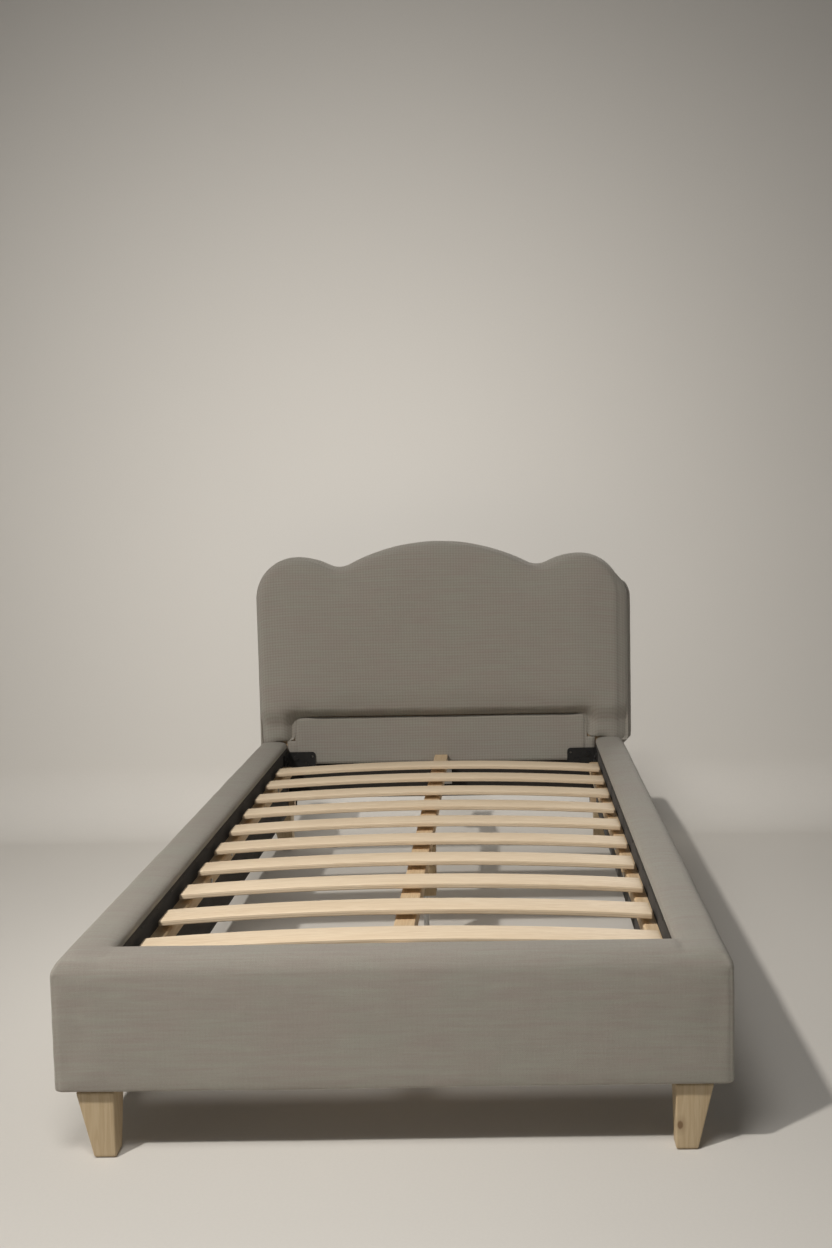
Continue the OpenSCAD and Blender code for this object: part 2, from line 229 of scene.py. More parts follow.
def smoothstep(low, high, x):
    t = np.clip((x - low) / (high - low), 0, 1)
    return t * t * (3 - 2 * t)


def arc(centre, radius, start, stop, steps):
    """Points on an arc; angles in degrees."""
    turn = np.radians(np.linspace(start, stop, steps + 1))
    return np.column_stack([centre[0] + radius * np.cos(turn),
                            centre[1] + radius * np.sin(turn)])


def scallop(inset, low):
    """The headboard's edge in X and Z, inset from the outer outline, from the
    right side at height low, over the lobes, to the left side."""
    middle = np.array([0, HEAD_TOP - MIDDLE_R])
    flank = np.array([FLANK_X, FLANK_TOP - FLANK_R])
    r1, r2 = MIDDLE_R + HOLLOW_R, FLANK_R + HOLLOW_R
    span = np.linalg.norm(flank - middle)
    along = (flank - middle) / span
    reach = (r1 * r1 - r2 * r2 + span * span) / (2 * span)
    hollow = (middle + along * reach
              + np.array([-along[1], along[0]]) * math.sqrt(r1 * r1 - reach * reach))

    def angle(v):
        return math.degrees(math.atan2(v[1], v[0]))

    to_flank, to_middle = angle(hollow - flank), angle(hollow - middle)
    side_z = np.linspace(low, FLANK_TOP - SHOULDER_R, 26)[:-1]
    side = np.column_stack([np.full(len(side_z), HALF_HEAD - inset), side_z])
    half = np.concatenate([
        side,
        arc((FLANK_X, FLANK_TOP - SHOULDER_R), SHOULDER_R - inset, 0, 90, 16)[:-1],
        arc(flank, FLANK_R - inset, 90, to_flank, 10)[:-1],
        arc(hollow, HOLLOW_R + inset, to_flank - 180, to_middle - 180, 8)[:-1],
        arc(middle, MIDDLE_R - inset, to_middle, 90, 22),
    ])
    return np.concatenate([half, half[-2::-1] * [-1, 1]])


def distance_to(outline, x, z):
    """Distance of each point to a polyline in X and Z."""
    p = np.column_stack([x, z])
    best = np.full(len(p), 9.0)
    for a, b in zip(outline[:-1], outline[1:]):
        d = b - a
        t = np.clip(((p - a) @ d) / max(d @ d, 1e-12), 0, 1)
        best = np.minimum(best, np.linalg.norm(p - a - t[:, None] * d, axis=1))
    return best


# ---- materials ----

class Finish:
    """A procedural material in object coordinates."""

    def __init__(self, name):
        self.data = bpy.data.materials.new(name)
        self.data.use_nodes = True
        self.tree = self.data.node_tree
        self.shader = self.tree.nodes["Principled BSDF"]
        self.place = self.add("TexCoord")
        self.at = self.place.outputs["Object"]

    def add(self, kind, inputs=None, **settings):
        node = self.tree.nodes.new("ShaderNode" + kind)
        for key, value in settings.items():
            setattr(node, key, value)
        for key, value in (inputs or {}).items():
            self.feed(node.inputs[key], value)
        return node

    def feed(self, socket, value):
        if isinstance(value, bpy.types.NodeSocket):
            self.tree.links.new(value, socket)
        else:
            socket.default_value = value

    def math(self, operation, *values):
        node = self.add("Math", dict(enumerate(values)), operation=operation)
        return node.outputs[0]

    def xyz(self, vector):
        return self.add("SeparateXYZ", {0: vector}).outputs

    def vector(self, x, y, z=0.0):
        return self.add("CombineXYZ", {0: x, 1: y, 2: z}).outputs[0]

    def scaled(self, vector, scale):
        """The vector over one length per axis, in metres."""
        factors = tuple(1 / s for s in scale)
        return self.add("VectorMath", {0: vector, 1: factors}, operation="MULTIPLY").outputs[0]

    def noise(self, vector, detail=2.0, roughness=0.5, distortion=0.0):
        node = self.add("TexNoise", {"Vector": vector, "Scale": 1.0, "Detail": detail,
                                     "Roughness": roughness, "Distortion": distortion})
        return node.outputs["Fac"]

    def remap(self, value, low, high, to_low=0.0, to_high=1.0):
        return self.add("MapRange", {0: value, 1: low, 2: high, 3: to_low, 4: to_high}).outputs[0]

    def mix(self, factor, a, b, blend="MIX"):
        node = self.add("Mix", data_type="RGBA", blend_type=blend)
        self.feed(node.inputs[0], factor)
        self.feed(node.inputs[6], a)
        self.feed(node.inputs[7], b)
        return node.outputs[2]

    def shade(self, colour, value):
        """The colour times a grey value."""
        grey = self.add("CombineColor", {0: value, 1: value, 2: value}).outputs[0]
        return self.mix(1.0, colour, grey, "MULTIPLY")

    def bump(self, height, distance, strength):
        return self.add("Bump", {"Height": height, "Distance": distance,
                                 "Strength": strength}).outputs[0]

    def finish(self, colour, roughness, normal, **constants):
        self.feed(self.shader.inputs["Base Color"], colour)
        self.feed(self.shader.inputs["Roughness"], roughness)
        self.feed(self.shader.inputs["Normal"], normal)
        for key, value in constants.items():
            self.shader.inputs[key.replace("_", " ")].default_value = value
        return self.data


def rgb(red, green, blue):
    return (red, green, blue, 1.0)


def linen(name, grid, streak):
    """Plain-woven linen look: grey threads, long weft slubs and, at grid's
    strength, the squares of a basket weave. The slubs show at streak's strength.
    The threads and squares also carry painted shade in their low parts and
    painted highlights on their crowns."""
    m = Finish(name)
    x, y, z = m.xyz(m.at)
    facing = m.math("ABSOLUTE", m.xyz(m.place.outputs["Normal"])[0])
    side = m.math("GREATER_THAN", facing, 0.7071)
    # u runs along the weft and v along the warp, on every face
    u = m.math("MULTIPLY_ADD", side, m.math("SUBTRACT", y, x), x)
    v_front = m.math("ADD", y, z)
    v_side = m.math("SUBTRACT", x, z)
    v = m.math("MULTIPLY_ADD", side, m.math("SUBTRACT", v_side, v_front), v_front)
    sway = m.noise(m.scaled(m.vector(u, v), (0.12, 0.12, 1)), detail=1)
    u = m.math("MULTIPLY_ADD", sway, 0.003, u)
    v = m.math("MULTIPLY_ADD", sway, 0.003, v)
    cloth = m.vector(u, v)

    thread = 0.0013
    warp = m.math("ABSOLUTE", m.math("SINE", m.math("MULTIPLY", u, math.pi / thread)))
    weft = m.math("ABSOLUTE", m.math("SINE", m.math("MULTIPLY", v, math.pi / thread)))
    over = m.add("TexChecker", {"Vector": cloth, "Scale": 1 / thread}).outputs["Fac"]
    height = m.math("MULTIPLY_ADD", over, m.math("SUBTRACT", warp, weft), weft)
    square = 0.0064
    across = m.math("SINE", m.math("MULTIPLY", u, math.pi / square))
    down = m.math("SINE", m.math("MULTIPLY", v, math.pi / square))
    basket = m.math("ADD", m.math("ABSOLUTE", across), m.math("ABSOLUTE", down))

    warp_slub = m.noise(m.scaled(cloth, (0.0020, 0.030, 1)), detail=2)
    weft_slub = m.noise(m.scaled(cloth, (0.040, 0.0024, 1)), detail=2)
    weft_band = m.noise(m.scaled(cloth, (0.085, 0.0065, 1)), detail=2)
    grain = m.noise(m.scaled(cloth, (0.0021, 0.0021, 1)), detail=2, roughness=0.6)
    cloud = m.noise(m.scaled(m.at, (0.10, 0.10, 0.05)), detail=2)

    hue = m.math("MULTIPLY_ADD", weft_band, 0.6, m.math("MULTIPLY", cloud, 0.4))
    hue = m.remap(hue, 0.38, 0.62)
    tone = m.mix(hue, rgb(0.342, 0.305, 0.267), rgb(0.338, 0.322, 0.277))
    light = m.remap(warp_slub, 0.3, 0.75, 1 - 0.025 * streak, 1 + 0.03 * streak)
    # height (the thread profile) and basket (the squares) darken the colour in the weave's low
    # parts and lighten its crowns: painted shade and painted highlight of the weave's relief. The
    # slubs, bands and grain are the yarn's own tone.
    for pattern, low, high, dark, pale in (
            (weft_slub, 0.3, 0.75, 1 - 0.045 * streak, 1 + 0.05 * streak),
            (weft_band, 0.3, 0.7, 1 - 0.045 * streak, 1 + 0.045 * streak),
            (grain, 0.3, 0.7, 0.955, 1.045), (height, 0.0, 1.0, 0.86, 1.10),
            (basket, 0.2, 1.8, 1 - grid, 1 + grid)):
        light = m.math("MULTIPLY", light, m.remap(pattern, low, high, dark, pale))
    colour = m.shade(tone, light)

    relief = m.math("MULTIPLY_ADD", height, 0.8, m.math("ADD", warp_slub, weft_slub))
    relief = m.math("MULTIPLY_ADD", basket, 2.0 * grid, relief)
    normal = m.bump(relief, 0.0005, 0.6)
    roughness = m.remap(height, 0, 1, 0.97, 0.86)
    return m.finish(colour, roughness, normal, Sheen_Weight=0.10, Sheen_Roughness=0.5,
                    Specular_IOR_Level=0.25)


def nonwoven():
    """Dark spun lining cloth with small pressed dots."""
    m = Finish("dark_nonwoven")
    fibres = m.noise(m.scaled(m.at, (0.0012,) * 3), detail=4, roughness=0.75, distortion=1.5)
    cloud = m.noise(m.scaled(m.at, (0.05, 0.05, 0.05)), detail=3)
    dots = m.add("TexVoronoi", {"Vector": m.scaled(m.at, (0.0026,) * 3), "Scale": 1.0,
                                "Randomness": 0.15}).outputs["Distance"]
    pressed = m.remap(dots, 0.15, 0.35)
    colour = m.mix(fibres, rgb(0.014, 0.012, 0.010), rgb(0.040, 0.034, 0.028))
    colour = m.shade(colour, m.math("MULTIPLY", m.remap(pressed, 0, 1, 0.8, 1.05),
                                    m.remap(cloud, 0.3, 0.7, 0.85, 1.15)))
    relief = m.math("MULTIPLY_ADD", fibres, 0.5, pressed)
    return m.finish(colour, m.remap(fibres, 0.3, 0.7, 0.95, 0.80), m.bump(relief, 0.0004, 0.6),
                    Sheen_Weight=0.1, Specular_IOR_Level=0.3)


def wood(name, pale, dark, along, rings=0.010, knots=(), plies=None, contrast=1.0):
    """Planed pale wood. along is the grain's axis, 0, 1 or 2; rings is the
    spacing of its year rings; knots are (x, y, z, radius); plies is the bend
    radius of a board whose edges show their layers."""
    m = Finish(name)
    length = [rings * 0.9] * 3
    length[along] = rings * 16
    bend = m.noise(m.scaled(m.at, [0.05 if i != along else 0.5 for i in range(3)]), detail=1)
    shift = m.add("VectorMath", {0: (2.6, 2.6, 2.6), "Scale": bend}, operation="SCALE").outputs[0]
    grown = m.add("VectorMath", {0: m.scaled(m.at, length), 1: shift}, operation="ADD").outputs[0]
    year = m.noise(grown, detail=3, roughness=0.55, distortion=0.4)
    year = m.remap(m.math("SINE", m.math("MULTIPLY", year, 34.0)), -1, 1)
    fine_scale = [0.0009] * 3
    fine_scale[along] = 0.05
    fine = m.noise(m.scaled(m.at, fine_scale), detail=4, roughness=0.65)
    broad_scale = [0.035] * 3
    broad_scale[along] = 0.35
    broad = m.noise(m.scaled(m.at, broad_scale), detail=2)

    streak = m.math("ADD", m.math("MULTIPLY", year, 0.42 * contrast),
                    m.math("MULTIPLY", m.remap(fine, 0.3, 0.75), 0.38 * contrast))
    streak = m.math("ADD", streak, m.math("MULTIPLY", m.remap(broad, 0.35, 0.7), 0.30 * contrast))
    colour = m.mix(m.math("MINIMUM", streak, 1.0), rgb(*pale), rgb(*dark))
    fleck = m.noise(m.scaled(m.at, [0.0022 if i != along else 0.018 for i in range(3)]), detail=2)
    colour = m.mix(m.remap(fleck, 0.70, 0.78, 0, 0.35 * contrast), colour,
                   rgb(*(c * 0.62 for c in dark)))
    for kx, ky, kz, radius in knots:
        away = m.add("VectorMath", {0: m.at, 1: (kx, ky, kz)}, operation="SUBTRACT").outputs[0]
        shape = [radius] * 3
        shape[along] = radius * 1.5
        far = m.add("VectorMath", {0: m.scaled(away, shape)}, operation="LENGTH").outputs["Value"]
        far = m.math("MULTIPLY_ADD", fine, 0.25, far)
        colour = m.mix(m.remap(far, 2.6, 1.0, 0, 0.45), colour, rgb(*(c * 0.72 for c in dark)))
        colour = m.mix(m.remap(far, 1.15, 0.75, 0, 0.85), colour,
                       rgb(dark[0] * 0.42, dark[1] * 0.33, dark[2] * 0.26))
    if plies is not None:
        ply = 0.0031
        x, _, z = m.xyz(m.at)
        level = m.math("ADD", z, m.math("MULTIPLY", m.math("MULTIPLY", x, x), 1 / (2 * plies)))
        across = m.math("ABSOLUTE", m.xyz(m.place.outputs["Normal"])[1])
        layer = m.math("SINE", m.math("MULTIPLY", level, 2 * math.pi / ply))
        edge = m.math("MULTIPLY", m.remap(across, 0.8, 0.95), m.remap(layer, 0.0, 0.9, 0.12, 0.62))
        colour = m.mix(edge, colour, rgb(*(c * 0.74 for c in dark)))
    relief = m.math("ADD", fine, m.math("MULTIPLY", year, 0.4))
    return m.finish(colour, m.remap(fine, 0.3, 0.7, 0.52, 0.68), m.bump(relief, 0.00025, 0.5),
                    Specular_IOR_Level=0.4)


def metal(name, colour, rough, grit=0.0006, metallic=0.0, wear=0.0):
    """Coated or plated steel, or moulded plastic, with a fine grain."""
    m = Finish(name)
    grain = m.noise(m.scaled(m.at, (grit,) * 3), detail=3, roughness=0.6)
    cloud = m.noise(m.scaled(m.at, (0.02,) * 3), detail=3)
    tone = m.shade(m.mix(cloud, rgb(*(c * 0.85 for c in colour)), rgb(*(c * 1.15 for c in colour))),
                   m.remap(grain, 0.3, 0.7, 0.92, 1.08))
    if wear:
        rub = m.noise(m.scaled(m.at, (0.006,) * 3), detail=4, roughness=0.7)
        tone = m.mix(m.remap(rub, 0.62, 0.72, 0, wear), tone, rgb(0.16, 0.155, 0.15))
    m.shader.inputs["Metallic"].default_value = metallic
    return m.finish(tone, m.remap(cloud, 0.3, 0.7, rough - 0.06, rough + 0.08),
                    m.bump(grain, grit * 0.25, 0.5))


SLAT_R = 5.110
LINEN = linen("linen", 0.012, 0.65)
HEAD_LINEN = linen("linen_headboard", 0.10, 0.3)
NONWOVEN = nonwoven()
SLAT_WOOD = wood("slat_wood", (0.92, 0.765, 0.565), (0.690, 0.520, 0.340), 0, rings=0.009,
                 plies=SLAT_R, contrast=0.75,
                 knots=[(-0.118, -0.240, 0.229, 0.0035), (0.205, -0.112, 0.226, 0.003),
                        (-0.262, 0.150, 0.222, 0.003), (0.075, 0.410, 0.231, 0.0032),
                        (0.160, -0.498, 0.229, 0.0028), (-0.045, 0.018, 0.231, 0.0026)])
PINE_LONG = wood("pine_along", (0.74, 0.575, 0.375), (0.560, 0.385, 0.215), 1, contrast=0.85)
PINE_ACROSS = wood("pine_across", (0.74, 0.575, 0.375), (0.560, 0.385, 0.215), 0, contrast=0.85)
PINE_UP = wood("pine_upright", (0.560, 0.445, 0.285), (0.410, 0.290, 0.165), 2, rings=0.012,
               contrast=0.8,
               knots=[(0.357, -0.768, 0.033, 0.0042), (-0.392, -0.735, 0.060, 0.003)])
PLYWOOD = wood("plywood", (0.66, 0.50, 0.33), (0.46, 0.31, 0.18), 2, rings=0.02)
BLACK_STEEL = metal("black_coat", (0.012, 0.0115, 0.011), 0.50, wear=0.25)
ZINC_STEEL = metal("zinc_plate", (0.56, 0.56, 0.55), 0.36, grit=0.0012, metallic=1.0)
BLACK_PLASTIC = metal("black_plastic", (0.020, 0.020, 0.020), 0.55)

# ---- CAD parts whose shape is right: a finish and softened edges ----

NODES = frame["nodes"]
FINISHES = {
    PINE_LONG: ["left_ledger", "right_ledger", "centre_rail", "left_rail_battens",
                "right_rail_battens"],
    PINE_ACROSS: ["footboard_battens"],
    PINE_UP: ["headboard_left_strut", "headboard_right_strut", "centre_leg_block"],
    PLYWOOD: ["footboard_outer_board", "footboard_inner_board", "left_rail_outer_board",
              "left_rail_inner_board", "right_rail_outer_board", "right_rail_inner_board",
              "headboard_board"],
    BLACK_STEEL: ["head_left_bracket", "head_right_bracket", "foot_left_bracket",
                  "foot_right_bracket", "bracket_bolts"],
    ZINC_STEEL: ["ledger_screws", "leg_plates", "leg_bolts",
                 "centre_leg_screw", "centre_rail_head_bracket", "centre_rail_foot_bracket"],
    BLACK_PLASTIC: ["leg_glides", "centre_leg_pad"],
}
SOFT_EDGES = {
    "left_ledger": 1.2, "right_ledger": 1.2, "centre_rail": 1.5, "centre_leg_block": 1.5,
    "head_left_bracket": 0.5, "head_right_bracket": 0.5, "foot_left_bracket": 0.5,
    "foot_right_bracket": 0.5, "centre_rail_head_bracket": 0.4,
    "centre_rail_foot_bracket": 0.4, "centre_leg_pad": 1.5, "leg_glides": 0.8,
    "bracket_bolts": 0.6, "ledger_screws": 0.4, "leg_plates": 0.5,
}
for material, names in FINISHES.items():
    for name in names:
        for held in NODES[name].material_slots:
            held.material = material
for name, width in SOFT_EDGES.items():
    add_modifier(NODES[name], "WELD", merge_threshold=1e-5)
    add_modifier(NODES[name], "BEVEL", width=width * MM, segments=2,
                 limit_method="ANGLE", angle_limit=math.radians(35))

# ---- padded frame: both rails and the footboard under one cloth ----

START_SHRINK = 0.0008    # the padding swells back out to the CAD's surface
LINING_EDGE_Z = RAIL_TOP - 0.014


def cover_profile():
    """The cover's section as (distance from the inner face, height)."""
    wide, s = OUTER_X - INNER_X, START_SHRINK
    top, low = RAIL_TOP - s, BED_Z + 0.001
    inner_r, outer_r, low_r = 0.011, 0.021, 0.005
    side_z = np.linspace(low + 0.004, LINING_EDGE_Z - 0.003, 12)
    inner = np.column_stack([np.full(12, 0.0022), side_z])
    fold = np.array([[0.0016, LINING_EDGE_Z - 0.001], [0.0004, LINING_EDGE_Z + 0.001]])
    inner_top = arc((inner_r, top - inner_r), inner_r, 180, 90, 5)
    flat = np.linspace(inner_r, wide - s - outer_r, 6)[1:-1]
    top_row = np.column_stack([flat, np.full(4, top)])
    outer_top = arc((wide - s - outer_r, top - outer_r), outer_r, 90, 0, 8)
    out_z = np.linspace(top - outer_r, low + low_r, 15)[1:-1]
    outer = np.column_stack([np.full(13, wide - s), out_z])
    under_r = arc((wide - s - low_r, low + low_r), low_r, 0, -90, 4)
    under_x = np.linspace(wide - s - low_r, 0.0062, 7)[1:]
    under = np.column_stack([under_x, np.full(6, low)])
    return np.concatenate([inner, fold, inner_top, top_row, outer_top, outer, under_r, under])


def cover_path():
    """Pairs of points on the inner and outer lines, from the head end of the
    right rail, round the footboard, to the head end of the left rail."""
    inner_r, outer_r = 0.008, 0.0065
    split_y = -0.55
    straight_y = np.concatenate([[BOARD_Y, BOARD_Y - 0.003],
                                 np.linspace(BOARD_Y - 0.012, split_y, 106)])
    right = [((INNER_X, y), (OUTER_X, y)) for y in straight_y]
    for t in np.linspace(0, 1, 16)[1:]:
        right.append(((INNER_X, split_y + t * (DECK_Y + inner_r - split_y)),
                      (OUTER_X, split_y + t * (FOOT_Y + outer_r - split_y))))
    near = arc((INNER_X - inner_r, DECK_Y + inner_r), inner_r, 0, -90, 10)[1:]
    far = arc((OUTER_X - outer_r, FOOT_Y + outer_r), outer_r, 0, -90, 10)[1:]
    right += list(zip(map(tuple, near), map(tuple, far)))
    for t in np.linspace(0, 1, 31)[1:]:
        right.append((((INNER_X - inner_r) * (1 - t), DECK_Y),
                      ((OUTER_X - outer_r) * (1 - t), FOOT_Y)))
    left = [((-a[0], a[1]), (-b[0], b[1])) for a, b in right[-2::-1]]
    return right + left


def frame_cover():
    profile = cover_profile()
    wide = OUTER_X - INNER_X
    rings = []
    for near, far in cover_path():
        near, far = np.array(near), np.array(far)
        share = profile[:, 0] / wide
        flat = near + share[:, None] * (far - near)
        rings.append(np.column_stack([flat, profile[:, 1]]))
    cover = skin("frame_cover", rings, LINEN)
    co = points_of(cover)
    depth = np.tile(profile[:, 0], len(rings))
    free = smoothstep(0.0025, 0.012, depth) * smoothstep(BED_Z, BED_Z + 0.02, co[:, 2])
    free = free * smoothstep(BOARD_Y - 0.004, BOARD_Y - 0.06, co[:, 1])
    swell(cover, 3.0, 0.0022, free)
    add_modifier(cover, "SUBSURF", levels=1, render_levels=1)
    settle(cover)
    co = points_of(cover)
    normal = normals_of(cover)
    loose = smoothstep(INNER_X + 0.002, INNER_X + 0.02, np.abs(co[:, 0]))
    loose = np.maximum(loose, smoothstep(DECK_Y, DECK_Y - 0.02, co[:, 1]))
    lift = 0.0005 * waves(co, (0.11, 0.23), 3) + 0.00015 * waves(co, (0.035,), 4)
    across = np.where(np.abs(co[:, 0]) > INNER_X,
                      (np.abs(co[:, 0]) - INNER_X) / (OUTER_X - INNER_X),
                      (DECK_Y - co[:, 1]) / (DECK_Y - FOOT_Y))
    crown = np.clip(1 - (2 * across - 1) ** 2, 0, 1)
    lift += 0.0030 * crown * smoothstep(0.5, 0.95, normal[:, 2]) * (co[:, 2] > RAIL_TOP - 0.01)
    # Sewn seams down the two front corners
    for side in (-1, 1):
        away = np.hypot(co[:, 0] - side * (OUTER_X - 0.006), co[:, 1] - (FOOT_Y + 0.001))
        lift -= 0.0010 * np.exp(-(away / 0.0026) ** 2) * (co[:, 2] < RAIL_TOP - 0.02)
    set_points(cover, co + normal * (lift * loose)[:, None])
    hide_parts("left_rail_pad", "right_rail_pad", "footboard_pad")


frame_cover()

# ---- dark linings on the inner faces, stapled to the timber ----


def sheet_grid(name, low, high, across, plane, thick, seed, wave=0.0006):
    """Thin sheet from low to high, each a place on the axis across and
    a height. plane is the axis through it, its front and the way it faces."""
    sunk = 0.0007
    axis, front, way = plane
    columns = max(4, int((high[0] - low[0]) / 0.012))
    rows = max(3, int((high[1] - low[1]) / 0.010))
    s = np.linspace(low[0], high[0], columns + 1)
    h = np.linspace(low[1], high[1], rows + 1)
    grid_s, grid_h = np.meshgrid(s, h, indexing="ij")
    flat = np.column_stack([grid_s.ravel(), grid_h.ravel()])
    probe = np.column_stack([flat, np.zeros(len(flat))])
    soft = np.minimum(flat[:, 1] - low[1], high[1] - flat[:, 1])
    ripple = wave * waves(probe, (0.05, 0.12), seed) * smoothstep(0, 0.02, soft)
    vertices = []
    for offset in (0.0, thick):
        place = np.zeros((len(flat), 3))
        place[:, axis] = front - way * (offset + sunk) + way * ripple
        place[:, across] = flat[:, 0]
        place[:, 2] = flat[:, 1]
        vertices.append(place)
    n, m = columns + 1, rows + 1
    faces = []
    for layer in (0, 1):
        base = layer * n * m
        for i in range(columns):
            for j in range(rows):
                a = base + i * m + j
                quad = (a, a + m, a + m + 1, a + 1)
                faces.append(quad if layer == 0 else quad[::-1])
    rim = ([(i * m, (i + 1) * m) for i in range(columns)]
           + [((n - 1) * m + j, (n - 1) * m + j + 1) for j in range(rows)]
           + [((i + 1) * m + m - 1, i * m + m - 1) for i in reversed(range(columns))]
           + [(j + 1, j) for j in reversed(range(rows))])
    faces += [(b, a, a + n * m, b + n * m) for a, b in rim]
    piece = new_piece(name, np.concatenate(vertices), faces, NONWOVEN)
    face_outward(piece)
    return piece


def staples(name, spots):
    """One mesh of staples. A spot is a centre, the crown's way and the way
    the sheet faces."""
    half, leg, w, t = 0.0058, 0.0018, 0.0011, 0.0006
    vertices, faces = [], []
    for centre, along, out in spots:
        centre, along, out = Vector(centre), Vector(along), Vector(out)
        wide = along.cross(out)
        line = [along * -half - out * leg, along * -half,
                along * (-half + t) + out * t, along * (half - t) + out * t,
                along * half, along * half - out * leg]
        start = len(vertices)
        for k, p in enumerate(line):
            drop = -out * t if 0 < k < 5 else along * (t if k == 0 else -t)
            for corner in (wide * w / 2, -wide * w / 2):
                vertices.append(centre + p + corner)
            for corner in (-wide * w / 2, wide * w / 2):
                vertices.append(centre + p + drop + corner)
        for k in range(5):
            a = start + 4 * k
            faces += [(a + j, a + (j + 1) % 4, a + 4 + (j + 1) % 4, a + 4 + j) for j in range(4)]
        faces += [tuple(start + j for j in (3, 2, 1, 0)), tuple(start + 20 + j for j in range(4))]
    piece = new_piece(name, vertices, faces, BLACK_STEEL)
    face_outward(piece)
    piece.data.shade_flat()


def linings():
    core_low, core_high = BED_Z + 0.003, LINING_EDGE_Z
    for word, side in (("left", -1), ("right", 1)):
        sheet = sheet_grid(f"{word}_rail_lining_cloth", (DECK_Y + 0.001, core_low),
                           (BOARD_Y - 0.002, core_high - 0.0005), 1,
                           (0, side * INNER_X, -side), 0.0008, 11 + side)
        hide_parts(f"{word}_rail_lining")
        x = side * (INNER_X + 0.0005)
        spots = [((x, y, z), (0, 1, 0), (-side, 0, 0))
                 for y in np.arange(DECK_Y + 0.05, BOARD_Y - 0.04, 0.085)
                 for z in (core_high - 0.006, core_low + 0.006)]
        staples(f"{word}_rail_staples", spots)
    sheet = sheet_grid("footboard_lining_cloth", (-INNER_X + 0.001, core_low),
                       (INNER_X - 0.001, core_high - 0.0005), 0, (1, DECK_Y, 1), 0.0008, 21)
    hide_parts("footboard_lining")
    spots = [((x, DECK_Y - 0.0005, z), (1, 0, 0), (0, 1, 0))
             for x in np.arange(-INNER_X + 0.04, INNER_X - 0.03, 0.085)
             for z in (core_high - 0.006, core_low + 0.006)]
    staples("footboard_staples", spots)
    low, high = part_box("headboard_lining")
    sheet = sheet_grid("headboard_lining_cloth", (low.x, low.z), (high.x, high.z), 0,
                       (1, low.y, -1), 0.0008, 31)
    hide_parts("headboard_lining")


linings()

# ---- headboard ----

BULGE = 0.021            # how far the band stands out on the right, where the cover is loose


def front_inset(outline):
    """How far the front panel's rim lies inside the outer edge: little along
    the top, more down the sides and most on the left."""
    x, z = outline[:, 0], outline[:, 1]
    down = smoothstep(0.700, 0.600, z)
    left, right = smoothstep(-0.36, -0.42, x), smoothstep(0.33, 0.405, x)
    return 0.004 + down * (0.009 * left + 0.006 * right)


def bulged(x, z, share=1.0):
    """X after the right side's lower part has been moved out."""
    return x + share * BULGE * smoothstep(0.335, 0.408, x) * smoothstep(0.668, 0.582, z)


def scallop_at(insets, low):
    """The scalloped edge with its own inset at each point."""
    steps = np.linspace(0, 0.04, 9)
    rings = np.array([scallop(step, low) for step in steps])
    spot = np.clip(insets / steps[1], 0, len(steps) - 1.001)
    whole = spot.astype(int)
    share = (spot - whole)[:, None]
    index = np.arange(rings.shape[1])
    return rings[whole, index] * (1 - share) + rings[whole + 1, index] * share


def pad_outline(insets, i):
    """Closed loop of the front pad in X and Z: the scallop, then the ears and
    the recess line, inset by i."""
    edge = scallop_at(insets, 0.268)
    first, last = edge[0, 0], edge[-1, 0]
    foot = 0.2595 + 0.3 * i
    ear = [(-0.386, foot), (-EAR_X - i - 0.010, foot), (-EAR_X - i, foot + 0.006),
           (-EAR_X - i, 0.284), (-EAR_X - i, RECESS_Z - 0.014),
           (-EAR_X - i + 0.003, RECESS_Z - 0.004 + i),
           (-EAR_X + 0.012, RECESS_Z + i)]
    left = np.array([(last + 0.002, 0.253 + i), (last + 0.010, 0.2475 + i),
                     (last + 0.018, 0.2500 + i), *ear])
    right = np.array([(-first + 0.002, 0.253 + i), (-first + 0.010, 0.2475 + i),
                      (-first + 0.018, 0.2500 + i), *ear])
    inner = np.linspace(-EAR_X + 0.03, EAR_X - 0.03, 24)
    middle = np.column_stack([inner, np.full(24, RECESS_Z + i)])
    return np.concatenate([edge, left, middle, right[::-1] * [-1, 1]])


